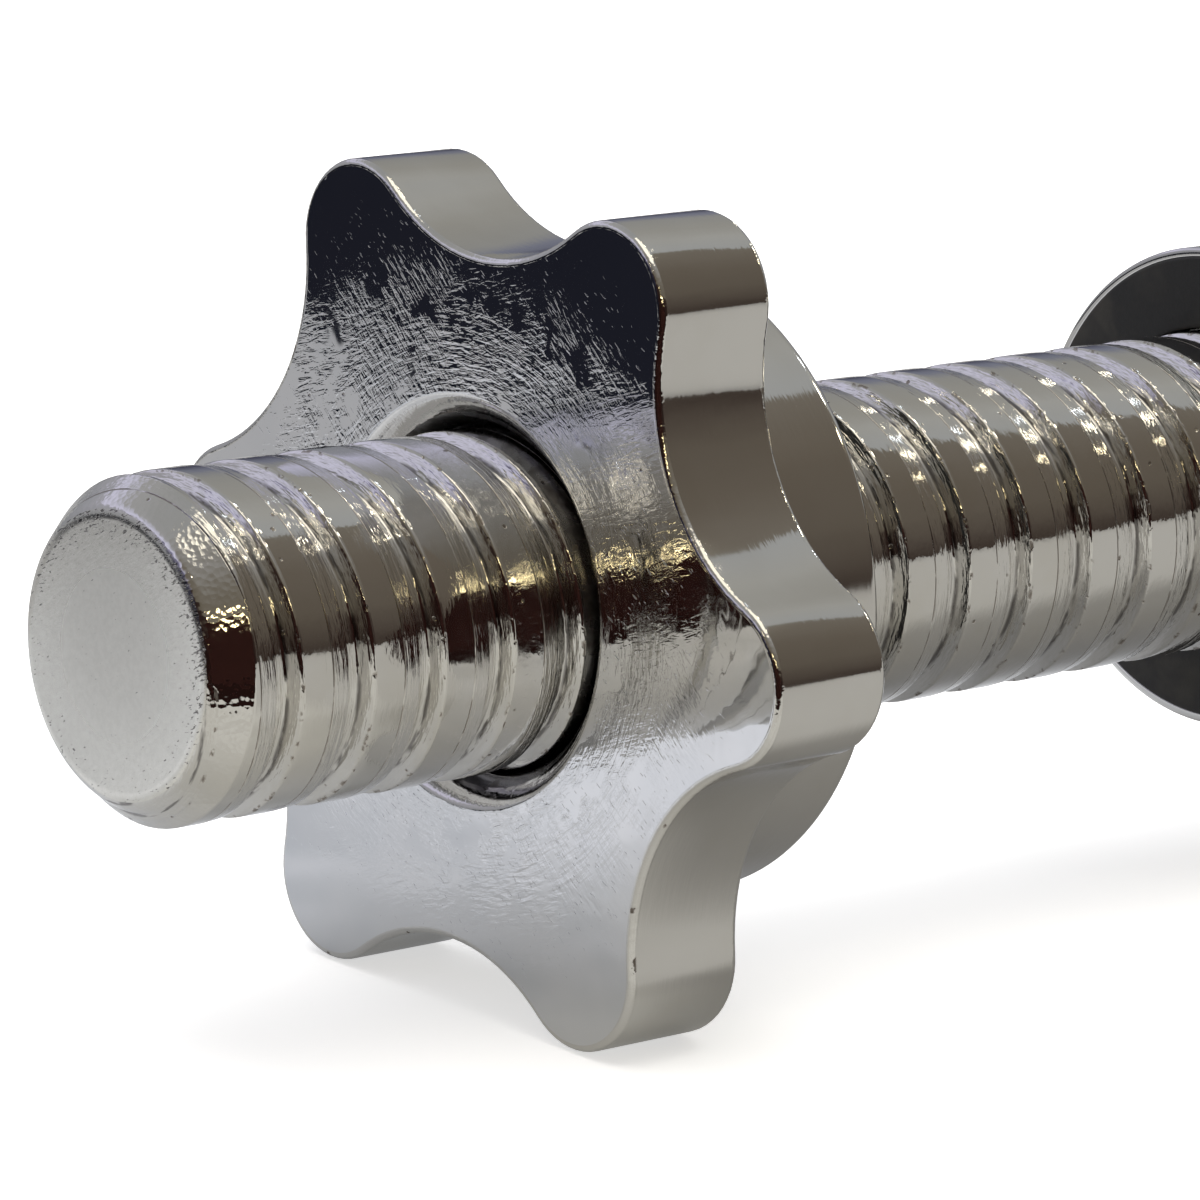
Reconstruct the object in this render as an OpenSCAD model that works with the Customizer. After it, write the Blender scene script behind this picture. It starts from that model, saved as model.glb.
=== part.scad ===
// Spin-lock dumbbell bar: a steel bar with a coarse thread on both sleeves, two inner collars
// pressed against the shoulders of the grip, each with a rubber pad in its face, and two
// six-lobed star collars that screw along the sleeves, each with a rubber ring that faces the pad.
// +X runs along the bar, +Z is up, and the origin is the centre of the bar.

/* [Sleeves] */
// Thread's major diameter, for plates with a 26 to 28 mm hole
thread_d = 25; // [24:0.5:28]
// Distance the star collar travels in one turn
pitch = 6.35; // [5.5:0.05:7]
// Radial depth of the thread's groove
thread_depth = 1.3; // [0.9:0.1:1.5]
// Width of the groove at the thread's major diameter
groove_w = 2.35; // [2:0.05:2.6]
// Length of each sleeve, from the bar's end face to the inner collar
sleeve_l = 108; // [90:1:140]
// Diameter of the bar's end face with its rounded edge
end_face_d = 21.3; // [20:0.1:22]
// Axial length of the chamfer at each end of the bar
end_chamfer_l = 2.8; // [2:0.1:4]

/* [Grip] */
// Length of the grip, between the inner collars
grip_l = 124; // [110:1:150]
// Diameter of the grip, over the crests of its knurling
grip_d = 25.8; // [25.6:0.1:32]

/* [Inner collars] */
// Outer diameter
collar_d = 38.2; // [34:0.1:50]
// Width along the bar, with the pad
collar_w = 8; // [6:0.5:12]
// Bevel round both edges of the rim
collar_bevel = 0.5; // [0.3:0.1:0.7]
// Diameter of the rubber pad in the face towards the weight plates
pad_d = 36.7; // [35:0.1:36.8]
// Thickness of the pad
pad_w = 2; // [1.5:0.1:3]
// How far the pad stands out of the collar
pad_proud = 0.2; // [0.1:0.1:0.5]

/* [Star collars] */
// Distance from the bar's end face to the front of the star collar, as it is parked
star_from_end = 31.5; // [15:0.1:50]
// Diameter across the tips of opposite lobes
star_d = 67.8; // [66:0.1:72]
// Diameter across opposite valleys
valley_d = 50.8; // [50:0.1:52]
// Radius of each lobe's tip
lobe_r = 6.3; // [6:0.1:7]
// Thickness of the star
star_w = 10.4; // [8:0.1:12]
// Diameter of the round hub behind the star
hub_d = 47.2; // [44:0.1:50]
// Length of the hub
hub_w = 8.8; // [8:0.1:12]
// Diameter of the flared mouth of the bore
mouth_d = 28; // [27:0.1:30]

/* [Rubber rings] */
// Inner diameter
ring_bore_d = 31; // [30:0.5:33]
// Outer diameter
ring_d = 41; // [39:0.5:43]
// Thickness
ring_w = 3.4; // [2.5:0.1:4]
// How far the ring stands out of its seat
ring_proud = 1; // [0.5:0.1:1.5]

/* [Hidden] */

$fn = 96;
lobes = 6;
half_l = sleeve_l + collar_w + grip_l / 2; // from the centre of the bar to its end face
major_r = thread_d / 2;
root_r = major_r - thread_depth;
root_w = 1; // width of the groove's flat bottom
end_edge = 0.6; // bevel round the flat of the end face
seat_r = major_r + 0.15; // journal that the inner collar is pressed on
groove_at = 0.94; // from the end face to the groove's middle, directly below the bar's axis
steps = 24; // straight stretches in one turn of the thread
play_r = 0.3; // radial play of the star collar on the thread
play_x = 0.25; // axial play on each side of the thread
bore_r = root_r + play_r; // the star collar's bore, over its thread's crests
nut_root_r = major_r + play_r;
star_l = star_w + hub_w;
edge = 0.6; // small bevels on the star collar
seat_gap = 0.2; // round the rubber ring in its seat, and between the pad and the thread
over = 1; // how far a cutter runs past the face that it cuts

// Width of the bar's groove at radius r
function groove_at_radius(r) = root_w + (groove_w - root_w) * (r - root_r) / thread_depth;

// A solid that follows a right-hand helix about +Z. The section is a list of [radius, height]
// points, with the inward stretch below the outward one, and starts at height z0 above +X.
module helix(section, z0, turns) {
  sides = len(section);
  count = ceil(turns * steps);
  points = [for (i = [0 : count], p = section)
    let (turned = 360 * i / steps)
    [p[0] * cos(turned), p[0] * sin(turned), z0 + p[1] + pitch * i / steps]];
  walls = [for (i = [0 : count - 1], j = [0 : sides - 1])
    let (a = i * sides + j, b = i * sides + (j + 1) % sides)
    each [[a, a + sides, b + sides], [a, b + sides, b]]];
  first_cap = [for (j = [0 : sides - 1]) j];
  last_cap = [for (j = [sides - 1 : -1 : 0]) count * sides + j];
  polyhedron(points, concat([first_cap], walls, [last_cap]), convexity = 20);
}

// The groove cut in one sleeve, with z measured from the end face
module sleeve_groove() {
  outer_r = major_r + 0.7;
  outer_w = groove_at_radius(outer_r);
  start = groove_at - pitch;
  helix([[outer_r, -outer_w / 2], [root_r, -root_w / 2], [root_r, root_w / 2], [outer_r, outer_w / 2]],
    start, (sleeve_l - start) / pitch);
}

// The groove cut in a star collar's bore. It leaves a ridge that runs in the bar's groove.
module bore_groove() {
  inner_r = bore_r - 0.5;
  inner_w = pitch - groove_at_radius(inner_r) + 2 * play_x;
  outer_w = pitch - groove_at_radius(nut_root_r) + 2 * play_x;
  first_turn = floor(star_from_end / pitch) - 1;
  helix([[nut_root_r, -outer_w / 2], [inner_r, -inner_w / 2], [inner_r, inner_w / 2], [nut_root_r, outer_w / 2]],
    groove_at + (first_turn + 0.5) * pitch, star_l / pitch + 2);
}

// Stands a shape that runs along +Z from z = 0 at the left end of the bar, pointing inwards
module at_left_end() {
  translate([-half_l, 0, 0]) rotate([0, 90, 0]) children();
}

// The same at the right end: the dumbbell looks the same when it is turned end for end
module at_right_end() {
  rotate([0, 0, 180]) at_left_end() children();
}

// Half of the bar's outline, from the end face to the middle of the grip
module half_bar_profile() {
  face_r = end_face_d / 2;
  seat_from = sleeve_l + pad_w;
  grip_from = sleeve_l + collar_w;
  polygon([[0, 0], [face_r - end_edge, 0], [face_r, end_edge], [major_r, end_chamfer_l],
    [major_r, seat_from], [seat_r, seat_from], [seat_r, grip_from],
    [grip_d / 2, grip_from], [grip_d / 2, half_l], [0, half_l]]);
}

module threaded_half() {
  difference() {
    rotate_extrude() half_bar_profile();
    sleeve_groove();
  }
}

module bar() {
  color("silver") {
    at_left_end() threaded_half();
    at_right_end() threaded_half();
  }
}

// A disc pressed on the journal, tight against the shoulder of the grip, with a recess for the pad
module inner_collar() {
  r = collar_d / 2;
  b = collar_bevel;
  color("gainsboro") translate([0, 0, sleeve_l]) rotate_extrude()
    polygon([[seat_r, pad_w], [pad_d / 2, pad_w], [pad_d / 2, pad_proud], [r - b, pad_proud],
      [r, pad_proud + b], [r, collar_w - b], [r - b, collar_w], [seat_r, collar_w]]);
}

// A rubber washer pressed in the recess, clear of the thread
module collar_pad() {
  inner_r = major_r + seat_gap;
  color("dimgray") translate([0, 0, sleeve_l]) rotate_extrude()
    translate([inner_r, 0]) square([pad_d / 2 - inner_r, pad_w]);
}

// Outline of the star: round tips joined by round valleys, each tangent to the next
module star_outline() {
  tip_at = star_d / 2 - lobe_r;
  valley_from_tip = valley_d / 2 - lobe_r;
  half_step = 180 / lobes;
  valley_at = (pow(tip_at, 2) - pow(valley_from_tip, 2)) / (2 * (tip_at * cos(half_step) - valley_from_tip));
  valley_r = valley_at - valley_d / 2;
  // where a tip's arc meets a valley's arc, seen from the middle of the tip
  to_valley = [valley_at * cos(half_step) - tip_at, valley_at * sin(half_step)];
  meet = [tip_at, 0] + to_valley * lobe_r / norm(to_valley);
  difference() {
    union() {
      polygon([for (i = [0 : lobes - 1], side = [-1, 1])
        let (turned = i * 360 / lobes + side * atan2(meet[1], meet[0]))
        norm(meet) * [cos(turned), sin(turned)]]);
      for (i = [0 : lobes - 1]) rotate(i * 360 / lobes) translate([tip_at, 0]) circle(lobe_r);
    }
    for (i = [0 : lobes - 1]) rotate((i + 0.5) * 360 / lobes) translate([valley_at, 0]) circle(valley_r);
  }
}

// The bore with its flared mouth, and the seat of the rubber ring in the hub's face
module star_bore() {
  mouth_r = mouth_d / 2;
  rotate_extrude() polygon([[0, -over], [mouth_r + edge + over, -over], [mouth_r + edge, 0],
    [mouth_r, edge], [bore_r, edge + mouth_r - bore_r], [bore_r, star_l - edge],
    [bore_r + edge, star_l], [bore_r + edge + over, star_l + over], [0, star_l + over]]);
}

module ring_seat() {
  seat_depth = ring_w - ring_proud + seat_gap;
  translate([0, 0, star_l - seat_depth]) difference() {
    cylinder(r = ring_d / 2 + seat_gap, h = seat_depth + over);
    cylinder(r = ring_bore_d / 2 - seat_gap, h = seat_depth + over);
  }
}

// The solid casting before it is bored: the star in front and the round hub behind it
module star_blank() {
  hub_r = hub_d / 2;
  linear_extrude(star_w) rotate(180 / lobes) star_outline();
  rotate_extrude() polygon([[0, star_w / 2], [hub_r, star_w / 2], [hub_r, star_l - edge],
    [hub_r - edge, star_l], [0, star_l]]);
}

module star_collar() {
  color("lightgray") difference() {
    translate([0, 0, star_from_end]) star_blank();
    translate([0, 0, star_from_end]) star_bore();
    translate([0, 0, star_from_end]) ring_seat();
    bore_groove();
  }
}

module rubber_ring() {
  color("dimgray") translate([0, 0, star_from_end + star_l + ring_proud - ring_w]) rotate_extrude()
    translate([ring_bore_d / 2, 0]) square([(ring_d - ring_bore_d) / 2, ring_w]);
}

bar();
at_left_end() inner_collar();  // inner_collar_left
at_right_end() inner_collar();  // inner_collar_right
at_left_end() collar_pad();  // collar_pad_left
at_right_end() collar_pad();  // collar_pad_right
at_left_end() star_collar();  // star_collar_left
at_right_end() star_collar();  // star_collar_right
at_left_end() rubber_ring();  // rubber_ring_left
at_right_end() rubber_ring();  // rubber_ring_right
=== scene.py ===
"""Looks of the spin-lock dumbbell bar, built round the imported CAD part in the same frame.

The bar lies along X. Each half is modelled from its own end inwards, with "depth" as the
distance from the end face in millimetres and "turn" as the angle round the bar, which is
0 straight below the axis. The right half is the left one turned by 180 degrees about Z.
"""
import math

import bpy
import numpy as np
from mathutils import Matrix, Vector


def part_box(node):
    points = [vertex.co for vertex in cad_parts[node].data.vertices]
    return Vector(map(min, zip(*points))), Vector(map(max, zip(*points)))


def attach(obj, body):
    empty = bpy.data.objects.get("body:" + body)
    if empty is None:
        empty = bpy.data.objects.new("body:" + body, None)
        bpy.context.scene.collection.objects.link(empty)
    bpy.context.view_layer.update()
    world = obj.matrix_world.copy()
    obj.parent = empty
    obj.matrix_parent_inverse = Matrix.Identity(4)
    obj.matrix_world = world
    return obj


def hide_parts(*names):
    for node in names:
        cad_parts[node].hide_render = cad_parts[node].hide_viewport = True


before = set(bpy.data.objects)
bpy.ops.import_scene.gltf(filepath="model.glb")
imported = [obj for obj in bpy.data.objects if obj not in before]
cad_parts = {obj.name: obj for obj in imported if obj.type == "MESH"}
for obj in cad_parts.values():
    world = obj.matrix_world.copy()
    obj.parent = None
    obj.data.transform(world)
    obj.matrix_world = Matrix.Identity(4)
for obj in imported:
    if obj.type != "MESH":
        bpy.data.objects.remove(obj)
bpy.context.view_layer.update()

MM = 0.001
MICRON = 0.000001
TAU = 2 * math.pi


def node_mm(node):
    """The lowest and highest corners of a CAD node, in millimetres."""
    low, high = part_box(node)
    return [v / MM for v in low], [v / MM for v in high]


def turned_part(node):
    """Where a node of the left half starts, how long it is, and its radius."""
    low, high = node_mm(node)
    return HALF_L + low[0], high[0] - low[0], high[1]


# ---------------------------------------------------------------- sizes, in millimetres
HALF_L = node_mm("bar")[1][0]
COLLAR_AT, COLLAR_W, COLLAR_R = turned_part("inner_collar_left")
STAR_AT, STAR_L, STAR_R = turned_part("star_collar_left")
PAD_AT, PAD_W, PAD_R = turned_part("collar_pad_left")
RING_AT, RING_W, RING_R = turned_part("rubber_ring_left")
FLOOR_Z = node_mm("star_collar_left")[0][2]

# the thread, as in the CAD part
MAJOR_R = 12.5
ROOT_R = 11.2
PITCH = 6.35
ROOT_HALF_W = 0.5
GROOVE_HALF_W = 1.175
GROOVE_AT = 0.94
SEAT_R = 12.65
GRIP_R = 12.9
CHAMFER_SLOPE = 0.804
# what rolling leaves on a crest: a seam, and a slope from there to the groove
SEAM_AT = -2.55
SHOULDER_SLOPE = 0.075
# the star collar
LOBES = 6
LOBE_R = 6.3
VALLEY_AT_R = 25.4
STAR_W = 10.4
HUB_R = 23.6
MOUTH_R = 14.0
BORE_R = 11.5
NUT_ROOT_R = 12.8
NUT_CREST_HALF_W = 0.41
NUT_FLANK_W = 0.67
SEAT_INNER_R = 15.3
SEAT_OUTER_R = 20.7
SEAT_DEPTH = 2.6
RING_BORE_R = 15.5
PAD_BORE_R = 12.7


# ---------------------------------------------------------------- mesh tools
class Shape:
    """Rings of vertices round the bar, and the faces between them."""

    def __init__(self):
        self.points, self.faces, self.marks, self.wear, self.count = [], [], [], [], 0

    def ring(self, turn, radius, depth, wear=0.0):
        """Adds a ring of vertices and returns their numbers."""
        turn, radius, depth = np.broadcast_arrays(turn, radius, depth)
        self.points.append(np.stack([depth - HALF_L, radius * np.sin(turn), -radius * np.cos(turn)], 1))
        self.wear.append(np.full(len(turn), wear))
        ids = np.arange(self.count, self.count + len(turn))
        self.count += len(turn)
        return ids

    def quads(self, a, b, c, d, mark=0):
        self.faces.append(np.stack([a, b, c, d], -1).reshape(-1, 4))
        self.marks.append(np.full(len(self.faces[-1]), mark))

    def join(self, first, second, mark=0):
        """Faces between two rings with the same number of vertices."""
        self.quads(first, second, np.roll(second, -1), np.roll(first, -1), mark)

    def close(self, ring, depth, mark=0):
        """A flat end: faces from a ring to a point on the axis."""
        centre = np.full(len(ring), self.ring([0.0], 0.0, depth)[0])
        self.quads(centre, ring, np.roll(ring, -1), centre, mark)


def to_object(name, shape, right=False):
    """A Blender object from a Shape. Corners that fall together make a triangle, or nothing."""
    points = np.concatenate(shape.points) * MM
    if right:
        points = points * [-1, -1, 1]
    faces, marks = [], []
    for face, mark in zip(np.concatenate(shape.faces).tolist(), np.concatenate(shape.marks).tolist()):
        corners = [v for i, v in enumerate(face) if v != face[i - 1]]
        if len(set(corners)) >= 3:
            faces.append(corners)
            marks.append(mark)
    mesh = bpy.data.meshes.new(name)
    mesh.from_pydata(points.tolist(), [], faces)
    mesh.polygons.foreach_set("use_smooth", np.ones(len(faces), bool))
    mesh.polygons.foreach_set("material_index", marks)
    wear = mesh.attributes.new("wear", "FLOAT", "POINT")
    wear.data.foreach_set("value", np.concatenate(shape.wear).astype(np.float32))
    mesh.update()
    obj = bpy.data.objects.new(name, mesh)
    bpy.context.scene.collection.objects.link(obj)
    return obj


def smooth_min(a, b, blend):
    h = np.maximum(blend - np.abs(a - b), 0) / blend
    return np.minimum(a, b) - h * h * blend / 4


def smooth_max(a, b, blend):
    return -smooth_min(-a, -b, blend)


def rounded(corners, steps=5):
    """A closed outline of (depth, radius, rounding) corners, each replaced by an arc."""
    out = []
    for i, (x, y, size) in enumerate(corners):
        here = np.array([x, y], float)
        before = np.array(corners[i - 1][:2], float) - here
        after = np.array(corners[(i + 1) % len(corners)][:2], float) - here
        if size == 0:
            out.append(here)
            continue
        before, after = before / np.linalg.norm(before), after / np.linalg.norm(after)
        for k in range(steps + 1):
            t = k / steps
            out.append(here + size * (before * (1 - t) ** 2 + after * t ** 2))
    return out


def from_groove(turn, depth):
    """Distance along the bar from the middle of the nearest turn of the groove."""
    offset = depth - GROOVE_AT - PITCH * turn / TAU
    return offset - PITCH * np.round(offset / PITCH)


def thread_radius(turn, depth):
    """The bar's threaded surface: flat-bottomed grooves, and crests that slope down beyond their seam."""
    offset = from_groove(turn, depth)
    off = np.abs(offset)
    flank = ROOT_R + (off - ROOT_HALF_W) * (MAJOR_R - ROOT_R) / (GROOVE_HALF_W - ROOT_HALF_W)
    crest = MAJOR_R - SHOULDER_SLOPE * np.where(offset < 0, np.maximum(offset - SEAM_AT, 0), 0)
    return smooth_max(smooth_min(flank, crest, 0.16), ROOT_R, 0.22)


def nut_radius(turn, depth):
    """The star collar's thread: a ridge that runs in the bar's groove, with play all round."""
    off = np.abs(from_groove(turn, depth))
    flank = BORE_R + (off - NUT_CREST_HALF_W) * (NUT_ROOT_R - BORE_R) / NUT_FLANK_W
    return smooth_max(smooth_min(flank, NUT_ROOT_R, 0.3), BORE_R, 0.3)


# rows of a threaded wall, by their distance from the middle of the groove: close where the surface bends
ROW_OFFSETS = [-2.6, -2.5, -1.36, -1.22, -1.13, -1.02, -0.7, -0.58, -0.47, -0.34, 0,
               0.34, 0.47, 0.58, 0.7, 1.04, 1.14, 1.22, 1.34, 2.2, PITCH / 2]


def spiral(shape, turn, start, end, radius, mark=0):
    """A threaded wall whose rows follow the helix. Returns its first and last rings."""
    k = len(ROW_OFFSETS)
    first_turn = math.floor((start - GROOVE_AT) / PITCH) - 2
    turns = math.ceil((end - start) / PITCH) + 5
    along = np.concatenate([GROOVE_AT + (first_turn + t) * PITCH + np.array(ROW_OFFSETS)
                            for t in range(turns)])
    depth = np.clip(along[:, None] + PITCH * turn[None, :] / TAU, start, end)
    low, high = depth <= start, depth >= end
    first = shape.ring(turn, radius(turn, start), start)
    last = shape.ring(turn, radius(turn, end), end)
    ids = np.empty(depth.shape, int)
    free = ~(low | high)
    angles = np.broadcast_to(turn, depth.shape)
    ids[free] = shape.ring(angles[free], radius(angles[free], depth[free]), depth[free])
    ids = np.where(low, first[None, :], np.where(high, last[None, :], ids))
    shape.quads(ids[:-1, :-1], ids[1:, :-1], ids[1:, 1:], ids[:-1, 1:], mark)
    # the last column meets the first one a whole turn further on
    shape.quads(ids[:-k - 1, -1], ids[1:-k, -1], ids[k + 1:, 0], ids[k:-1, 0], mark)
    return first, last


def lathe(name, outline, columns, right=False):
    """A closed ring turned from an outline of (depth, radius) points."""
    shape = Shape()
    turn = np.arange(columns) * TAU / columns
    rings = [shape.ring(turn, r, x) for x, r in outline]
    for i, ring in enumerate(rings):
        shape.join(ring, rings[(i + 1) % len(rings)])
    return to_object(name, shape, right)


# ---------------------------------------------------------------- the bar
BAR_COLUMNS = 80
END_CORNER_R = 10.36
END_ROUNDING = 0.75
KNURL_ROOT_R = 12.35
LAND_R = 12.55
KNURL_FROM_COLLAR = 6.0
DIAMOND_L = 2.6
DIAMOND_FLAT = 0.3
STEEL, SATIN = 0, 1


def end_envelope():
    """(depth, radius) rows from the edge of the flat end face over the rounding and chamfer."""
    flat_r = END_CORNER_R - END_ROUNDING
    lean = math.atan(CHAMFER_SLOPE)
    rows = []
    for k in range(9):
        t = k / 8
        rows.append((END_ROUNDING * math.cos(lean) * t * t,
                     flat_r + END_ROUNDING * (2 * t * (1 - t) + t * t * (1 + math.sin(lean)))))
    for depth in np.arange(rows[-1][0] + 0.08, 4.2, 0.08):
        rows.append((depth, END_CORNER_R + depth * CHAMFER_SLOPE))
    return flat_r, rows


def half_bar(shape):
    """One half of the bar, out to the ring of vertices where the knurling starts."""
    turn = np.arange(BAR_COLUMNS) * TAU / BAR_COLUMNS
    flat_r, rows = end_envelope()
    ring = shape.ring(turn, 2.0, 0.0)
    shape.close(ring, 0.0, SATIN)
    for radius in (4.0, 6.0, 8.0, flat_r - 0.08, flat_r):
        nxt = shape.ring(turn, radius, 0.0)
        shape.join(ring, nxt, SATIN)
        ring = nxt
    for depth, envelope in rows[1:]:
        radius = smooth_min(envelope, thread_radius(turn, depth), 0.1)
        nxt = shape.ring(turn, radius, depth, 1.0 if depth < 0.7 else 0.0)
        shape.join(ring, nxt, SATIN if depth < 0.2 else STEEL)
        ring = nxt
    thread_end = PAD_AT + PAD_W
    grip_at = COLLAR_AT + COLLAR_W
    first, last = spiral(shape, turn, rows[-1][0] + 0.05, thread_end - 0.1, thread_radius)
    shape.join(ring, first)
    knurl_at = grip_at + KNURL_FROM_COLLAR
    profile = [(thread_end + 0.2, SEAT_R), (grip_at, SEAT_R), (grip_at + 0.1, LAND_R),
               (knurl_at - 0.35, LAND_R), (knurl_at - 0.2, LAND_R - 0.03), (knurl_at, KNURL_ROOT_R)]
    ring = last
    for depth, radius in profile:
        nxt = shape.ring(turn, radius, depth)
        shape.join(ring, nxt)
        ring = nxt
    return turn, knurl_at, ring


def knurling(shape, turn, start, begin, end, finish):
    """Diamond knurling: flat-topped pyramids between two crossing sets of grooves."""
    rows = 2 * round((end - start) / DIAMOND_L)
    step = (end - start) / rows
    n = len(turn)
    between = [shape.ring(turn, KNURL_ROOT_R, start + b * step) for b in range(1, rows)]
    rings = [begin, *between, finish]
    width = TAU / n
    for b in range(1, rows):
        centres = np.arange((b + 1) % 2, n, 2)
        left, right = (centres - 1) % n, (centres + 1) % n
        base = [rings[b - 1][centres], rings[b][right], rings[b + 1][centres], rings[b][left]]
        at = start + b * step
        f = DIAMOND_FLAT
        top = [shape.ring(turn[centres], GRIP_R, at - f * step, 1.0),
               shape.ring(turn[centres] + f * width, GRIP_R, at, 1.0),
               shape.ring(turn[centres], GRIP_R, at + f * step, 1.0),
               shape.ring(turn[centres] - f * width, GRIP_R, at, 1.0)]
        for i in range(4):
            j = (i + 1) % 4
            shape.quads(base[j], base[i], top[i], top[j])
        shape.quads(top[3], top[2], top[1], top[0])
    for edge, inner, flip in ((0, 1, False), (rows, rows - 1, True)):
        gaps = np.arange((edge + 1) % 2, n, 2)
        left, right = (gaps - 1) % n, (gaps + 1) % n
        outer, apex = rings[edge], rings[inner][gaps]
        for a, b in ((outer[left], outer[gaps]), (outer[gaps], outer[right])):
            shape.quads(*((b, a, apex, apex) if flip else (a, b, apex, apex)))


def build_bar():
    shape = Shape()
    turn, knurl_at, left = half_bar(shape)
    split = len(shape.points)
    _, _, right = half_bar(shape)
    # the second half is turned by 180 degrees about Z
    for i in range(split, len(shape.points)):
        shape.points[i] = shape.points[i] * [-1, -1, 1]
    # its column at turn t now stands at turn -t, as seen from the left end
    opposite = (-np.arange(BAR_COLUMNS)) % BAR_COLUMNS
    knurling(shape, turn, knurl_at, left, 2 * HALF_L - knurl_at, right[opposite])
    return to_object("bar_steel", shape)


# ---------------------------------------------------------------- the star collars
def star_outline():
    """Points round the star with their outward normals, from tangent tip and valley arcs."""
    tip_at = STAR_R - LOBE_R
    inner = VALLEY_AT_R - LOBE_R
    half = math.pi / LOBES
    valley_at = (tip_at ** 2 - inner ** 2) / (2 * (tip_at * math.cos(half) - inner))
    valley_r = valley_at - VALLEY_AT_R
    reach = math.atan2(valley_at * math.sin(half), valley_at * math.cos(half) - tip_at)
    points, normals = [], []
    steps = 10
    for lobe in range(LOBES):
        middle = (2 * lobe + 1) * half
        for k in range(-steps, steps):
            a = middle + reach * k / steps
            normals.append((math.cos(a), math.sin(a)))
            points.append((tip_at * math.cos(middle) + LOBE_R * math.cos(a),
                           tip_at * math.sin(middle) + LOBE_R * math.sin(a)))
        for k in range(2 * steps):
            a = middle + reach + (half - reach) * k / steps
            normals.append((math.cos(a), math.sin(a)))
            points.append((valley_at * math.cos(middle + half) - valley_r * math.cos(a),
                           valley_at * math.sin(middle + half) - valley_r * math.sin(a)))
    return np.array(points), np.array(normals)


FACE, BODY, BORE = 0, 1, 2
# roundings of the star's front and back edges and of the hub's foot, the width of the lip round the
# mouth, and how far in from each end the thread starts
FRONT_EDGE = 0.55
BACK_EDGE = 0.9
FILLET = 0.7
LIP = 0.9
FRONT_RUN = 1.3
BACK_RUN = 0.7
EDGE_STEPS = 6
FILLET_STEPS = 5


def build_star(name, right):
    shape = Shape()
    outline, normal = star_outline()
    turn = np.unwrap(np.arctan2(outline[:, 1], outline[:, 0]))

    def circle(radius, depth, wear=0.0):
        return shape.ring(turn, radius, STAR_AT + depth, wear)

    def contour(inset, depth, wear=0.0, towards=0.0, share=0.0):
        """The star's outline moved in, and by a share of the way to a circle."""
        at = outline - normal * inset
        if share:
            round_at = towards * np.stack([np.cos(turn), np.sin(turn)], 1)
            at = at + (round_at - at) * share
        angle = np.arctan2(at[:, 1], at[:, 0])
        return shape.ring(angle, np.hypot(at[:, 0], at[:, 1]), STAR_AT + depth, wear)

    def bore(angle, depth):
        # the thread, and the flared mouth that widens towards the front face
        flare = MOUTH_R + 1.0 - (depth - STAR_AT)
        return smooth_max(nut_radius(angle, depth), flare, 0.4)

    def quarter(k, steps):
        """After k steps of a rounding, the share left to go across it and the share gone along it."""
        a = k / steps * math.pi / 2
        return 1 - math.sin(a), 1 - math.cos(a)

    first, last = spiral(shape, turn, STAR_AT + FRONT_RUN, STAR_AT + STAR_L - BACK_RUN, bore, BORE)
    # rings from the thread's front end over the face, the sides and the hub to its back end
    rings = [(first, BORE)]
    face_from = MOUTH_R + LIP + 0.3
    for k in range(1, 8):
        t = k / 7
        depth = FRONT_RUN * (1 - t) ** 2 + 0.35 * t * (1 - t)
        radius = (MOUTH_R - 0.3) * (1 - t) ** 2 + 2 * t * (1 - t) * (MOUTH_R + 0.6) + t * t * face_from
        rings.append((circle(radius, depth, 0.5), BODY))
    rings.append((circle(face_from + 0.12, 0.0), FACE))
    for share in np.linspace(0.85, 0.15, 6):
        rings.append((contour(FRONT_EDGE, 0.0, 0.0, face_from, share), FACE))
    for inset in (FRONT_EDGE + 0.1, FRONT_EDGE):
        rings.append((contour(inset, 0.0), FACE))
    for k in range(1, EDGE_STEPS + 1):
        inwards, backwards = quarter(k, EDGE_STEPS)
        worn = 1.0 if k < EDGE_STEPS else 0.0
        rings.append((contour(FRONT_EDGE * inwards, FRONT_EDGE * backwards, worn), BODY))
    for k in range(EDGE_STEPS + 1):
        forwards, inwards = quarter(k, EDGE_STEPS)
        worn = 1.0 if k > 0 else 0.0
        rings.append((contour(BACK_EDGE * inwards, STAR_W - BACK_EDGE * forwards, worn), BODY))
    for share in (0.5, 1.0):
        rings.append((contour(BACK_EDGE, STAR_W, 0.0, HUB_R + FILLET, share), BODY))
    for k in range(1, FILLET_STEPS + 1):
        outwards, backwards = quarter(k, FILLET_STEPS)
        rings.append((circle(HUB_R + FILLET * outwards, STAR_W + FILLET * backwards), BODY))
    seat_at = STAR_L - SEAT_DEPTH
    back = rounded([(STAR_L, HUB_R, 1.0), (STAR_L, SEAT_OUTER_R, 0.2), (seat_at, SEAT_OUTER_R, 0.2),
                    (seat_at, SEAT_INNER_R, 0.2), (STAR_L, SEAT_INNER_R, 0.25),
                    (STAR_L, BORE_R + 0.4, 0.3), (STAR_L - BACK_RUN, BORE_R + 0.1, 0),
                    (STAR_W + 1, HUB_R, 0)])
    # the last two corners only lead the outline on, to the thread and from the hub's side
    for depth, radius in back[:-2]:
        rings.append((circle(radius, depth), BODY))
    rings.append((last, BODY))
    for (before, _), (after, mark) in zip(rings, rings[1:]):
        shape.join(after, before, mark)
    return to_object(name, shape, right)


def build_inner_collar(name, right):
    recess = PAD_AT + PAD_W - COLLAR_AT
    outline = rounded([(recess, SEAT_R, 0), (recess, PAD_R, 0), (0, PAD_R, 0.12), (0, COLLAR_R, 0.45),
                       (COLLAR_W, COLLAR_R, 0.45), (COLLAR_W, SEAT_R, 0)], 6)
    return lathe(name, [(COLLAR_AT + x, r) for x, r in outline], 160, right)


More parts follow.
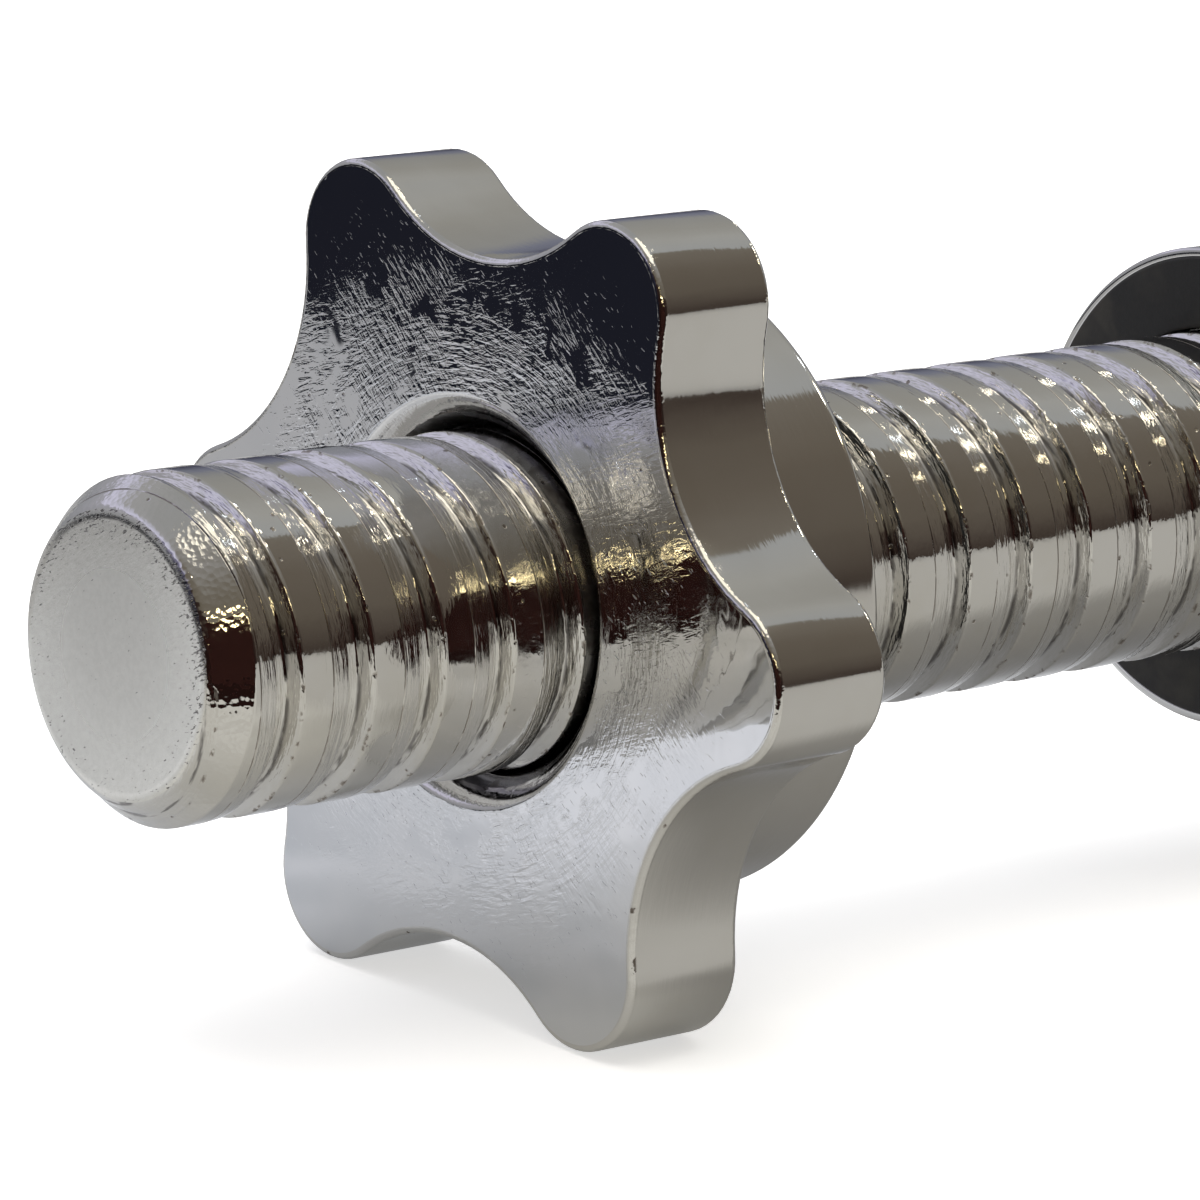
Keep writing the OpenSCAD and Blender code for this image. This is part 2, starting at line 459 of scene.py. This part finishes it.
def build_collar_pad(name, right):
    outline = rounded([(0, PAD_BORE_R, 0.3), (0, PAD_R, 0.25), (PAD_W, PAD_R, 0),
                       (PAD_W, PAD_BORE_R, 0)], 4)
    return lathe(name, [(PAD_AT + x, r) for x, r in outline], 128, right)


def build_rubber_ring(name, right):
    outline = rounded([(0, RING_BORE_R, 0.3), (0, RING_R, 0.3), (RING_W, RING_R, 0.45),
                       (RING_W, RING_BORE_R, 0.45)], 4)
    return lathe(name, [(RING_AT + x, r) for x, r in outline], 128, right)


# ---------------------------------------------------------------- materials
# Places and radii are in metres, so a noise scale is about the number of its blobs in a metre.
def material(name):
    """A new material, the helper for its nodes, and its shader."""
    mat = bpy.data.materials.new(name)
    mat.use_nodes = True
    nodes = mat.node_tree.nodes
    nodes.clear()
    shader = nodes.new("ShaderNodeBsdfPrincipled")
    out = nodes.new("ShaderNodeOutputMaterial")
    mat.node_tree.links.new(shader.outputs[0], out.inputs[0])
    return mat, Net(mat.node_tree), shader


class Net:
    """Short ways to add the nodes of one material."""

    def __init__(self, tree):
        self.tree = tree
        self.place = tree.nodes.new("ShaderNodeTexCoord").outputs["Object"]

    def put(self, socket, value):
        """Sets a socket to a number or a tuple, or links it to another socket."""
        if isinstance(value, (int, float, tuple)):
            socket.default_value = value
        else:
            self.tree.links.new(value, socket)

    def math(self, kind, a, b=0.0):
        n = self.tree.nodes.new("ShaderNodeMath")
        n.operation = kind
        self.put(n.inputs[0], a)
        self.put(n.inputs[1], b)
        return n.outputs[0]

    def plus(self, a, b):
        return self.math("ADD", a, b)

    def minus(self, a, b):
        return self.math("SUBTRACT", a, b)

    def times(self, a, b):
        return self.math("MULTIPLY", a, b)

    def highest(self, a, b):
        return self.math("MAXIMUM", a, b)

    def absolute(self, a):
        return self.math("ABSOLUTE", a)

    def split(self, vector):
        n = self.tree.nodes.new("ShaderNodeSeparateXYZ")
        self.put(n.inputs[0], vector)
        return n.outputs

    def join(self, x, y, z):
        n = self.tree.nodes.new("ShaderNodeCombineXYZ")
        for i, v in enumerate((x, y, z)):
            self.put(n.inputs[i], v)
        return n.outputs[0]

    def stretched(self, scale, turned=0.0):
        """The place turned about X by an angle in degrees, then stretched along each axis."""
        n = self.tree.nodes.new("ShaderNodeMapping")
        n.vector_type = "POINT"
        self.put(n.inputs["Vector"], self.place)
        n.inputs["Rotation"].default_value = (math.radians(turned), 0, 0)
        m = self.tree.nodes.new("ShaderNodeVectorMath")
        m.operation = "MULTIPLY"
        self.tree.links.new(n.outputs[0], m.inputs[0])
        m.inputs[1].default_value = scale
        return m.outputs[0]

    def radius(self):
        """Distance from the bar's axis."""
        _, y, z = self.split(self.place)
        return self.math("SQRT", self.plus(self.times(y, y), self.times(z, z)))

    def noise(self, vector, detail=2.0, rough=0.5, warp=0.0, scale=1.0):
        """Noise of 0 to 1. With a vector that is already stretched, the scale stays 1."""
        n = self.tree.nodes.new("ShaderNodeTexNoise")
        self.put(n.inputs["Vector"], vector)
        n.inputs["Scale"].default_value = scale
        n.inputs["Detail"].default_value = detail
        n.inputs["Roughness"].default_value = rough
        n.inputs["Distortion"].default_value = warp
        return n.outputs[0]

    def spots(self, scale):
        """Distance from the nearest of many scattered points, as a share of their spacing."""
        n = self.tree.nodes.new("ShaderNodeTexVoronoi")
        self.put(n.inputs["Vector"], self.place)
        n.inputs["Scale"].default_value = scale
        return n.outputs["Distance"]

    def ramp(self, value, low, high, to_low=0.0, to_high=1.0):
        """A smooth step, from to_low where the value is low to to_high where it is high."""
        n = self.tree.nodes.new("ShaderNodeMapRange")
        n.interpolation_type = "SMOOTHSTEP"
        self.put(n.inputs[0], value)
        for i, v in enumerate((low, high, to_low, to_high)):
            n.inputs[1 + i].default_value = v
        return n.outputs[0]

    def mix(self, share, a, b):
        n = self.tree.nodes.new("ShaderNodeMix")
        n.data_type = "RGBA"
        self.put(n.inputs["Factor"], share)
        for key, v in (("A", a), ("B", b)):
            socket = [s for s in n.inputs if s.name == key and s.type == "RGBA"][0]
            self.put(socket, (*v, 1) if isinstance(v, tuple) else v)
        return [s for s in n.outputs if s.type == "RGBA"][0]

    def bump(self, height, distance, below=None, strength=1.0):
        """Relief of the given height in metres, on top of another bump."""
        n = self.tree.nodes.new("ShaderNodeBump")
        n.inputs["Distance"].default_value = distance
        n.inputs["Strength"].default_value = strength
        self.put(n.inputs["Height"], height)
        if below is not None:
            self.tree.links.new(below, n.inputs["Normal"])
        return n.outputs[0]

    def attribute(self, name):
        n = self.tree.nodes.new("ShaderNodeAttribute")
        n.attribute_name = name
        return n.outputs["Fac"]


CHROME = (0.72, 0.71, 0.69)


def finish_metal(net, shader, colour, rough, normal):
    shader.inputs["Metallic"].default_value = 1.0
    net.put(shader.inputs["Base Color"], colour)
    net.put(shader.inputs["Roughness"], rough)
    net.put(shader.inputs["Normal"], normal)


def pits(net, scale, share):
    """1 in small scattered pits, 0 elsewhere."""
    return net.ramp(net.spots(scale), share, share * 0.5)


def groove_offset(net):
    """Distance along the bar from the middle of the nearest turn of the groove, in millimetres."""
    x, y, z = net.split(net.place)
    turn = net.math("ARCTAN2", y, net.times(z, -1.0))
    winding = net.minus(net.times(x, 1 / MM), net.times(turn, PITCH / TAU))
    phase = net.minus(HALF_L - GROOVE_AT, net.times(winding, net.math("SIGN", x)))
    moved = net.math("FLOORED_MODULO", net.plus(phase, PITCH / 2), PITCH)
    return net.minus(moved, PITCH / 2)


def thread_chrome():
    """Rolled and plated steel: smooth crests, drawn-out marks on their shoulders and in the groove, and
    painted shade in the groove's corners.
    """
    mat, net, shader = material("thread_chrome")
    offset = groove_offset(net)
    drift = net.stretched((350, 420, 420))
    drift_x, drift_y, drift_z = net.split(drift)

    def along_helix(across, along):
        return net.join(net.times(offset, across), net.times(drift_y, along),
                        net.plus(net.times(drift_z, along), drift_x))

    smooth = net.highest(net.ramp(offset, 1.1, 1.3), net.ramp(offset, SEAM_AT + 0.05, SEAM_AT - 0.05))
    # the grip has none of the thread's marks
    from_middle = net.absolute(net.split(net.place)[0])
    grip_end = HALF_L - COLLAR_AT - COLLAR_W
    threaded = net.ramp(from_middle, (grip_end + 0.1) * MM, (grip_end + 1.0) * MM)
    marked = net.times(net.minus(1.0, net.times(smooth, 0.93)), threaded)
    drawn = net.noise(along_helix(3.6, 1.0), 2.0, 0.55)
    lines = net.noise(along_helix(11.0, 1.6), 2.0, 0.6)
    peel = net.noise(net.place, 2.0, 0.5, 0.3, 800.0)
    chatter = net.noise(net.stretched((2600, 1300, 1300)), 2.0, 0.5)
    seam_off = net.absolute(net.minus(offset, SEAM_AT))
    broken = net.ramp(net.noise(drift, 2.0, 0.6), 0.36, 0.5)
    seam = net.times(net.ramp(seam_off, 0.075, 0.02), broken)
    nick_where = net.noise(net.stretched((1500, 900, 900)), 2.0, 0.6)
    edge_off = net.absolute(net.minus(offset, GROOVE_HALF_W))
    nicks = net.times(net.ramp(edge_off, 0.16, 0.03), net.ramp(nick_where, 0.56, 0.66))
    # painted shade in the groove's root corners, broken into patches along the drawn marks
    corner_off = net.absolute(net.minus(net.absolute(offset), ROOT_HALF_W + 0.08))
    oil_and_groove_shade = net.times(net.ramp(corner_off, 0.16, 0.02), net.ramp(drawn, 0.40, 0.55))
    oil_and_groove_shade = net.times(oil_and_groove_shade, threaded)
    dents = pits(net, 420.0, 0.09)
    flaws = net.highest(net.times(net.highest(seam, nicks), threaded), dents)
    # the end chamfer is dimpled
    chamfer = net.ramp(from_middle, (HALF_L - 3.0) * MM, (HALF_L - 2.4) * MM)
    dimples = net.times(net.spots(2300.0), chamfer)
    normal = net.bump(net.times(drawn, marked), 70 * MICRON)
    normal = net.bump(net.times(lines, marked), 18 * MICRON, normal)
    normal = net.bump(peel, 7 * MICRON, normal)
    normal = net.bump(chatter, 10 * MICRON, normal)
    normal = net.bump(dimples, 20 * MICRON, normal)
    normal = net.bump(net.minus(1.0, flaws), 20 * MICRON, normal)
    haze = net.noise(net.place, 3.0, 0.6, 0.0, 140.0)
    rough = net.plus(net.ramp(haze, 0.4, 0.75, 0.035, 0.09), net.times(flaws, 0.3))
    colour = net.mix(net.ramp(haze, 0.35, 0.7), CHROME, (0.69, 0.675, 0.64))
    # painted shade: the groove's root corners darkened
    colour = net.mix(net.times(oil_and_groove_shade, 0.8), colour, (0.13, 0.12, 0.12))
    colour = net.mix(net.times(flaws, 0.7), colour, (0.14, 0.10, 0.07))
    finish_metal(net, shader, colour, rough, normal)
    return mat


def end_satin():
    """The cut and plated end face: nearly flat, with short dark pits that crowd towards its rim."""
    mat, net, shader = material("end_satin")
    _, y, z = net.split(net.place)
    radius = net.radius()
    near_rim = net.ramp(radius, 0.0068, 0.0102)
    grain = net.noise(net.place, 3.0, 0.6, 0.0, 2200.0)
    worn = net.noise(net.stretched((300, 900, 2600), 35), 2.0, 0.6)
    across = net.noise(net.stretched((300, 3000, 500)), 2.0, 0.6)
    pitted = net.noise(net.stretched((600, 1900, 6200), 25), 2.0, 0.55)
    upper = net.ramp(net.minus(z, net.times(y, 0.35)), -0.006, 0.008)
    crowded = net.times(near_rim, net.plus(0.05, net.times(upper, 0.12)))
    dents = net.ramp(net.plus(pitted, crowded), 0.71, 0.77)
    normal = net.bump(grain, 3.5 * MICRON)
    normal = net.bump(worn, 10 * MICRON, normal, 0.5)
    normal = net.bump(across, 5 * MICRON, normal, 0.6)
    normal = net.bump(net.minus(1.0, dents), 30 * MICRON, normal, 0.9)
    rough = net.ramp(radius, 0.002, 0.0106, 0.34, 0.20)
    colour = net.mix(net.ramp(grain, 0.3, 0.7), (0.735, 0.72, 0.67), (0.78, 0.765, 0.715))
    colour = net.mix(net.times(dents, 0.8), colour, (0.10, 0.09, 0.09))
    finish_metal(net, shader, colour, rough, normal)
    return mat


def star_face():
    """The front of the star: ground and polished by hand before plating, which left broken strokes."""
    mat, net, shader = material("star_face")
    _, y, z = net.split(net.place)
    radius = net.radius()
    turn = net.math("ARCTAN2", z, net.times(y, -1.0))
    patches = net.noise(net.place, 1.0, 0.5, 0.0, 75.0)
    straight_a = net.noise(net.stretched((0, 2700, 620), 48), 2.0, 0.6, 0.5)
    straight_b = net.noise(net.stretched((0, 640, 2600), 20), 2.0, 0.6, 0.5)
    arcs = net.noise(net.join(net.times(radius, 2600.0), net.times(turn, 9.0), 0.0), 2.0, 0.6, 0.5)
    # each patch has strokes of one direction, and round the bore there are arcs too
    strokes = 0.0
    for stroke, share in ((straight_a, net.ramp(patches, 0.44, 0.52)),
                          (straight_b, net.ramp(patches, 0.56, 0.48)),
                          (arcs, net.ramp(radius, 0.0255, 0.0175, 0.0, 1.7))):
        strokes = net.plus(strokes, net.times(net.minus(stroke, 0.5), share))
    # the tips were ground the least
    clumps = net.ramp(net.noise(net.place, 2.0, 0.6, 0.3, 330.0), 0.33, 0.52)
    ground = net.times(net.ramp(radius, 0.0290, 0.0215), clumps)
    strokes = net.times(strokes, ground)
    specks = net.ramp(net.noise(net.place, 2.0, 0.6, 0.5, 2300.0), 0.56, 0.66)
    specks = net.times(specks, ground)
    scratch_a = net.ramp(net.noise(net.stretched((0, 4200, 1000), 52), 1.0, 0.5, 0.3), 0.71, 0.75)
    scratch_b = net.ramp(net.noise(net.stretched((0, 900, 4300), -30), 1.0, 0.5, 0.3), 0.72, 0.76)
    scratches = net.times(net.highest(scratch_a, scratch_b), net.ramp(radius, 0.0315, 0.0215))
    waves = net.noise(net.place, 2.0, 0.5, 0.4, 230.0)
    dents = pits(net, 260.0, 0.05)
    normal = net.bump(waves, 34 * MICRON)
    normal = net.bump(strokes, 30 * MICRON, normal)
    normal = net.bump(specks, 1.4 * MICRON, normal)
    normal = net.bump(scratches, 11 * MICRON, normal)
    normal = net.bump(net.minus(1.0, dents), 30 * MICRON, normal)
    haze = net.noise(net.place, 3.0, 0.6, 0.0, 70.0)
    rough = net.plus(net.ramp(haze, 0.35, 0.7, 0.022, 0.05), net.times(scratches, 0.25))
    colour = net.mix(net.ramp(haze, 0.35, 0.7), (0.78, 0.78, 0.79), (0.72, 0.73, 0.75))
    colour = net.mix(net.times(dents, 0.6), colour, (0.12, 0.08, 0.06))
    finish_metal(net, shader, colour, rough, normal)
    return mat


def star_body():
    """The star's sides and hub: a plated casting with marks drawn round it, and specks on worn edges."""
    mat, net, shader = material("star_body")
    peel = net.noise(net.place, 2.0, 0.5, 0.2, 420.0)
    drawn = net.noise(net.stretched((2600, 330, 330)), 2.0, 0.6)
    fine = net.noise(net.stretched((6000, 1100, 1100)), 2.0, 0.6)
    edge = net.attribute("wear")
    worn = net.noise(net.place, 3.0, 0.6, 0.0, 520.0)
    sparkle = net.noise(net.place, 2.0, 0.6, 0.4, 1500.0)
    speck = net.times(net.ramp(worn, 0.655, 0.71), edge)
    normal = net.bump(peel, 7 * MICRON)
    normal = net.bump(drawn, 10 * MICRON, normal)
    normal = net.bump(fine, 1.2 * MICRON, normal)
    normal = net.bump(net.times(sparkle, edge), 40 * MICRON, normal)
    normal = net.bump(net.minus(1.0, speck), 30 * MICRON, normal, 0.6)
    haze = net.noise(net.place, 3.0, 0.6, 0.0, 90.0)
    rough = net.plus(net.ramp(haze, 0.35, 0.7, 0.05, 0.1), net.times(speck, 0.5))
    colour = net.mix(net.ramp(haze, 0.35, 0.7), CHROME, (0.68, 0.665, 0.635))
    colour = net.mix(net.times(speck, 0.75), colour, (0.11, 0.07, 0.045))
    finish_metal(net, shader, colour, rough, normal)
    return mat


def bore_steel():
    """The star's own thread: duller plating with machining lines round it and a trace of old oil."""
    mat, net, shader = material("bore_steel")
    lines = net.noise(net.stretched((3800, 80, 80)), 3.0, 0.6)
    oil_and_groove_shade = net.noise(net.place, 3.0, 0.6, 0.2, 260.0)
    normal = net.bump(lines, 10 * MICRON)
    colour = net.mix(net.ramp(oil_and_groove_shade, 0.4, 0.7), (0.36, 0.36, 0.37), (0.12, 0.11, 0.10))
    finish_metal(net, shader, colour, net.ramp(oil_and_groove_shade, 0.4, 0.7, 0.2, 0.42), normal)
    return mat


def collar_chrome():
    """Turned and plated discs: faint concentric lines under a mirror finish."""
    mat, net, shader = material("collar_chrome")
    along = net.split(net.place)[0]
    lines = net.noise(net.join(net.times(net.radius(), 5200.0), net.times(along, 900.0), 0.0), 2.0, 0.6)
    haze = net.noise(net.place, 3.0, 0.6, 0.0, 110.0)
    dents = pits(net, 380.0, 0.06)
    normal = net.bump(lines, 2.2 * MICRON)
    normal = net.bump(net.minus(1.0, dents), 20 * MICRON, normal)
    colour = net.mix(net.ramp(haze, 0.35, 0.7), CHROME, (0.67, 0.66, 0.64))
    rough = net.plus(net.ramp(haze, 0.35, 0.7, 0.04, 0.09), net.times(dents, 0.3))
    finish_metal(net, shader, colour, rough, normal)
    return mat


def ring_rubber():
    """Moulded black rubber: fine grain, and grey dust on its rim."""
    mat, net, shader = material("ring_rubber")
    grain = net.noise(net.place, 4.0, 0.65, 0.0, 1800.0)
    dust = net.noise(net.place, 3.0, 0.6, 0.4, 160.0)
    normal = net.bump(grain, 40 * MICRON)
    colour = net.mix(net.ramp(dust, 0.45, 0.75), (0.018, 0.018, 0.019), (0.055, 0.052, 0.048))
    net.put(shader.inputs["Base Color"], colour)
    net.put(shader.inputs["Roughness"], net.ramp(dust, 0.4, 0.75, 0.55, 0.8))
    net.put(shader.inputs["Normal"], normal)
    shader.inputs["Specular IOR Level"].default_value = 0.4
    return mat


# ---------------------------------------------------------------- studio
def ramp_colour(tree, value, stops):
    n = tree.nodes.new("ShaderNodeValToRGB")
    n.color_ramp.interpolation = "LINEAR"
    tree.links.new(value, n.inputs[0])
    items = n.color_ramp.elements
    while len(items) < len(stops):
        items.new(0.5)
    for item, (at, colour) in zip(items, stops):
        item.position = at
        item.color = (*colour, 1)
    return n.outputs[0]


# What the chrome reflects, as (position, colour) stops. Towards +X the position runs from the horizon in
# front (0) over the top (0.5) to the horizon behind (1). Towards -X it is the height of the direction
# above the horizon, in front, behind, and furthest behind.
ROOM_RIGHT = [
    (0.00, (0.06, 0.046, 0.038)), (0.05, (0.09, 0.073, 0.06)), (0.14, (0.13, 0.11, 0.088)),
    (0.28, (0.15, 0.128, 0.103)), (0.42, (0.19, 0.168, 0.14)), (0.438, (0.20, 0.18, 0.15)),
    (0.446, (0.41, 0.42, 0.42)), (0.56, (0.43, 0.43, 0.41)), (0.66, (0.37, 0.365, 0.34)),
    (0.82, (0.32, 0.32, 0.31)), (0.90, (0.20, 0.21, 0.27)), (1.00, (0.05, 0.05, 0.08)),
]
ROOM_LEFT_FRONT = [
    (0.00, (0.022, 0.012, 0.010)), (0.20, (0.03, 0.018, 0.015)), (0.29, (0.05, 0.036, 0.028)),
    (0.34, (0.15, 0.13, 0.10)), (0.60, (0.20, 0.18, 0.15)), (1.00, (0.42, 0.42, 0.42)),
]
ROOM_LEFT_BACK = [
    (0.00, (0.016, 0.018, 0.032)), (0.24, (0.03, 0.032, 0.06)), (0.35, (0.22, 0.21, 0.32)),
    (0.44, (0.74, 0.73, 0.92)), (0.54, (0.60, 0.60, 0.72)), (0.66, (0.40, 0.40, 0.41)),
    (1.00, (0.36, 0.37, 0.37)),
]
ROOM_LEFT_FAR = [
    (0.00, (0.30, 0.31, 0.33)), (0.35, (0.42, 0.42, 0.47)), (0.44, (0.74, 0.73, 0.92)),
    (0.54, (0.60, 0.60, 0.72)), (0.66, (0.42, 0.42, 0.43)), (1.00, (0.36, 0.37, 0.37)),
]
CEILING_AT = (-0.15, -0.15, 0.977)
CEILING = (1.6, 1.5, 1.28)


def build_world():
    world = bpy.data.worlds.new("room")
    bpy.context.scene.world = world
    world.use_nodes = True
    tree = world.node_tree
    tree.nodes.clear()
    out = tree.nodes.new("ShaderNodeOutputWorld")
    back = tree.nodes.new("ShaderNodeBackground")
    tree.links.new(back.outputs[0], out.inputs[0])
    net = Net(tree)
    direction = tree.nodes.new("ShaderNodeTexCoord").outputs["Generated"]
    x, y, z = net.split(direction)
    wobble = net.ramp(net.noise(direction, 3.0, 0.6, 0.0, 6.0), 0.2, 0.8, -0.015, 0.015)
    over = net.math("DIVIDE", net.math("ARCTAN2", z, net.times(y, -1.0)), math.pi)
    right = ramp_colour(tree, net.plus(over, wobble), ROOM_RIGHT)
    height = net.plus(z, wobble)
    front = ramp_colour(tree, height, ROOM_LEFT_FRONT)
    behind = net.mix(net.ramp(y, 0.45, 0.60), ramp_colour(tree, height, ROOM_LEFT_BACK),
                     ramp_colour(tree, height, ROOM_LEFT_FAR))
    left = net.mix(net.ramp(y, 0.0, 0.25), front, behind)
    room = net.mix(net.ramp(x, 0.35, 0.55), left, right)
    towards = net.plus(net.times(y, CEILING_AT[1]), net.times(z, CEILING_AT[2]))
    towards = net.plus(net.times(x, CEILING_AT[0]), towards)
    room = net.mix(net.ramp(towards, 0.92, 0.955), room, CEILING)
    tree.links.new(room, back.inputs[0])
    back.inputs[1].default_value = 1.0


def area_light(name, at, aim, size, power, colour, seen_in_gloss=True):
    data = bpy.data.lights.new(name, "AREA")
    data.shape = "RECTANGLE"
    data.size, data.size_y = size
    data.energy = power
    data.color = colour
    light = bpy.data.objects.new(name, data)
    bpy.context.scene.collection.objects.link(light)
    light.location = at
    aim = Vector(aim) - Vector(at)
    light.rotation_euler = aim.to_track_quat("-Z", "Y").to_euler()
    light.visible_glossy = seen_in_gloss
    light.visible_camera = False


# small lamps of the room, seen as warm glints along the thread: (direction, width, colour)
GLINTS = [
    ((0.84, -0.24, 0.49), 0.08, (1.0, 0.88, 0.6)),
    ((0.83, -0.05, 0.56), 0.11, (1.0, 0.92, 0.72)),
    ((0.82, 0.12, 0.56), 0.06, (0.85, 0.92, 1.0)),
    ((0.78, 0.45, 0.43), 0.07, (1.0, 0.92, 0.75)),
    ((0.50, -0.10, 0.86), 0.05, (1.0, 0.92, 0.75)),
    ((0.30, 0.05, 0.95), 0.06, (1.0, 0.9, 0.68)),
    ((0.47, -0.28, 0.84), 0.08, (1.0, 0.92, 0.75)),
    ((0.43, 0.00, 0.90), 0.09, (1.0, 0.9, 0.68)),
    ((0.46, 0.22, 0.86), 0.06, (0.8, 0.9, 1.0)),
    ((-0.80, -0.12, 0.58), 0.045, (1.0, 0.9, 0.66)),
    ((-0.66, -0.62, 0.42), 0.02, (1.0, 0.85, 0.5)),
]
# they stand on a sphere round a point near the star collar in view
GLINTS_ROUND = -0.12
GLINTS_AWAY = 1.5
GLINT_POWER = 48.0


def build_lights():
    area_light("overhead", (0.1, 0.2, 1.6), (0, 0, 0), (2.4, 2.4), 30.0, (1, 1, 1), False)
    for i, (towards, width, colour) in enumerate(GLINTS):
        x, y, z = [GLINTS_AWAY * v for v in towards]
        area_light(f"glint_{i}", (x + GLINTS_ROUND, y, z), (GLINTS_ROUND, 0, 0), (width, width),
                   GLINT_POWER * width * width, colour)


# ---------------------------------------------------------------- what stands round the dumbbell
def matt(shader):
    shader.inputs["Roughness"].default_value = 0.9
    shader.inputs["Specular IOR Level"].default_value = 0.0


def plain(name, colour):
    mat, _, shader = material(name)
    shader.inputs["Base Color"].default_value = (*colour, 1)
    matt(shader)
    return mat


def quad(name, corners, mat):
    mesh = bpy.data.meshes.new(name)
    mesh.from_pydata(corners, [], [(0, 1, 2, 3)])
    obj = bpy.data.objects.new(name, mesh)
    bpy.context.scene.collection.objects.link(obj)
    mesh.materials.append(mat)
    return obj


# where the paper ends along X, in metres, and how soft that edge is
PAPER_END = -0.291
EDGE_WIDTH = 0.002
# how brightly the paper shines of itself, to the camera and in the chrome
PAPER_SEEN = 0.55
PAPER_REFLECTED = 0.36
TABLE = (0.012, 0.013, 0.02)
TABLE_BESIDE = (0.016, 0.007, 0.006)


def floor_material():
    """Pale paper. In reflections it is dimmer and carries painted light and shade, and the dark table
    shows where the paper ends.
    """
    mat, net, shader = material("floor_paper")
    x, y, _ = net.split(net.place)
    path = net.tree.nodes.new("ShaderNodeLightPath")
    glossy = path.outputs["Is Glossy Ray"]
    seen = path.outputs["Is Camera Ray"]
    slant = net.times(net.minus(net.highest(y, 0.1), 0.17), 0.18)
    slant = net.plus(slant, net.ramp(y, 0.15, 0.135, 0.0, 0.06))
    paper = net.ramp(net.plus(x, slant), PAPER_END - EDGE_WIDTH, PAPER_END + EDGE_WIDTH)
    # the paper as the chrome sees it, with painted light and shade on it: a painted pool of light behind
    # the bar that fades further behind, mid-bright paper before its end, and a painted shadow under the
    # bar and star. The soft noise makes the paper uneven.
    soft = net.ramp(net.noise(net.place, 2.0, 0.5, 0.0, 34.0), 0.35, 0.65)
    behind = net.mix(soft, (0.54, 0.56, 0.60), (0.76, 0.78, 0.83))
    behind = net.mix(net.ramp(y, 0.105, 0.14), behind, (0.44, 0.445, 0.46))
    before = net.mix(soft, (0.56, 0.555, 0.525), (0.65, 0.645, 0.615))
    # painted shadow under the bar and star, as the chrome sees the paper
    painted_shadow = net.mix(net.ramp(y, -0.045, -0.028), (0.49, 0.485, 0.465), (0.31, 0.305, 0.29))
    near = net.mix(net.ramp(x, -0.145, -0.125), before, painted_shadow)
    sheet = net.mix(net.ramp(y, -0.02, 0.04), near, behind)
    reflected = net.mix(paper, TABLE, sheet)
    away = net.plus(net.times(x, -0.62), net.times(y, -0.78))
    beside = net.times(net.ramp(away, 0.185, 0.19), net.ramp(x, -0.195, -0.20))
    reflected = net.mix(beside, reflected, TABLE_BESIDE)
    # part of the reflected brightness is the paper's own, which keeps the shadow under the bar light
    dimmed = net.mix(0.4, reflected, (0.0, 0.0, 0.0))
    net.put(shader.inputs["Base Color"], net.mix(glossy, (0.9, 0.9, 0.9), dimmed))
    net.put(shader.inputs["Emission Color"], net.mix(glossy, (1.0, 1.0, 1.0), reflected))
    shine = net.plus(net.times(seen, PAPER_SEEN), net.times(glossy, PAPER_REFLECTED))
    net.put(shader.inputs["Emission Strength"], shine)
    matt(shader)
    return mat


FLOOR_HALF = 4.0
FLOOR_GAP = 0.0002
# the card that stands beside the camera
CARD_AT = (-0.262, -0.117)
CARD_ALONG = (-0.75, 0.66)
CARD_HALF_W = 0.075
CARD_H = 0.088


def build_stage():
    z = FLOOR_Z * MM - FLOOR_GAP
    corners = [(x * FLOOR_HALF, y * FLOOR_HALF, z) for x, y in ((-1, -1), (1, -1), (1, 1), (-1, 1))]
    quad("floor", corners, floor_material())
    # what stands beside the camera is only seen in the chrome: a dark card with a warm strip on top
    top = z + CARD_H
    ends = [[c + end * CARD_HALF_W * a for c, a in zip(CARD_AT, CARD_ALONG)] for end in (-1, 1)]
    corners = [(*ends[0], z), (*ends[1], z), (*ends[1], top), (*ends[0], top)]
    card = quad("card_dark", corners, plain("dark_card", (0.03, 0.012, 0.010)))
    card.visible_camera = False
    card.visible_diffuse = False
    card.visible_shadow = False
    area_light("strip", (*CARD_AT, top + 0.006), (-0.17, -0.01, 0.0), (0.08, 0.004), 0.008,
               (1.0, 0.83, 0.45))


def build_camera():
    data = bpy.data.cameras.new("camera")
    data.sensor_width = 36.0
    data.lens = 209.23
    data.clip_start = 0.02
    data.clip_end = 20.0
    camera = bpy.data.objects.new("camera", data)
    bpy.context.scene.collection.objects.link(camera)
    camera.location = (-0.46303, -0.37388, 0.11696)
    camera.rotation_euler = [math.radians(v) for v in (76.625, -2.563, -40.79)]
    bpy.context.scene.camera = camera


# ---------------------------------------------------------------- assembly
def dress(piece, body, slot, replaced, *materials):
    """Gives a piece its materials and its body, and hides the CAD node that it stands for; its slot is not
    used.
    """
    for mat in materials:
        piece.data.materials.append(mat)
    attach(piece, body)
    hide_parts(replaced)


build_camera()
build_world()
build_lights()
build_stage()
chrome, satin = thread_chrome(), end_satin()
face, sides, thread = star_face(), star_body(), bore_steel()
disc, rubber = collar_chrome(), ring_rubber()
dress(build_bar(), "bar", "bar_chrome", "bar", chrome, satin)
for side in ("left", "right"):
    mirrored = side == "right"
    dress(build_star(f"star_{side}_casting", mirrored), f"star_{side}", "star_chrome",
          f"star_collar_{side}", face, sides, thread)
    dress(build_inner_collar(f"inner_{side}_disc", mirrored), "bar", "collar_chrome",
          f"inner_collar_{side}", disc)
    dress(build_collar_pad(f"pad_{side}_band", mirrored), "bar", "ring_rubber",
          f"collar_pad_{side}", rubber)
    dress(build_rubber_ring(f"rubber_{side}_band", mirrored), f"ring_{side}", "ring_rubber",
          f"rubber_ring_{side}", rubber)
bpy.context.scene.view_settings.view_transform = "Standard"
